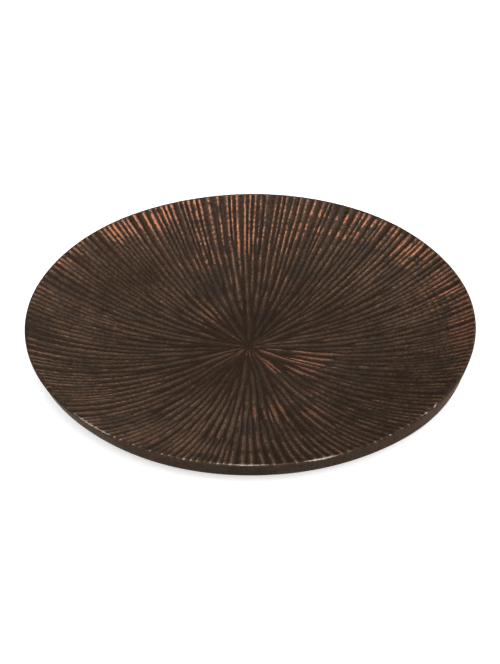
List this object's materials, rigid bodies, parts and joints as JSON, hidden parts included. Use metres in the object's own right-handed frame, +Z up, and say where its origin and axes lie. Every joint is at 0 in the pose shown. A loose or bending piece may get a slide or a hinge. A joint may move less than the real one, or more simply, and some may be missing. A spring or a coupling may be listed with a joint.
{
  "type": "serving tray",
  "caption": "Round dished serving tray with a fluted sunburst surface running from the centre to a thin lip, a rim face leaning in under it, and felt pads under a flat base.",
  "frame": {"origin": "centre of the tray on the surface that the felt pads stand on", "axes": "+Z up, along the tray's axis of revolution, out of the dish"},
  "size_m": [0.3, 0.3, 0.0355],
  "materials": {
    "antique_copper": "satin",
    "felt": "matte"
  },
  "bodies": {
    "root": {"tray_casting": "antique_copper", "felt_pad_1": "felt", "felt_pad_2": "felt", "felt_pad_3": "felt", "felt_pad_4": "felt"}
  },
  "joints": []
}
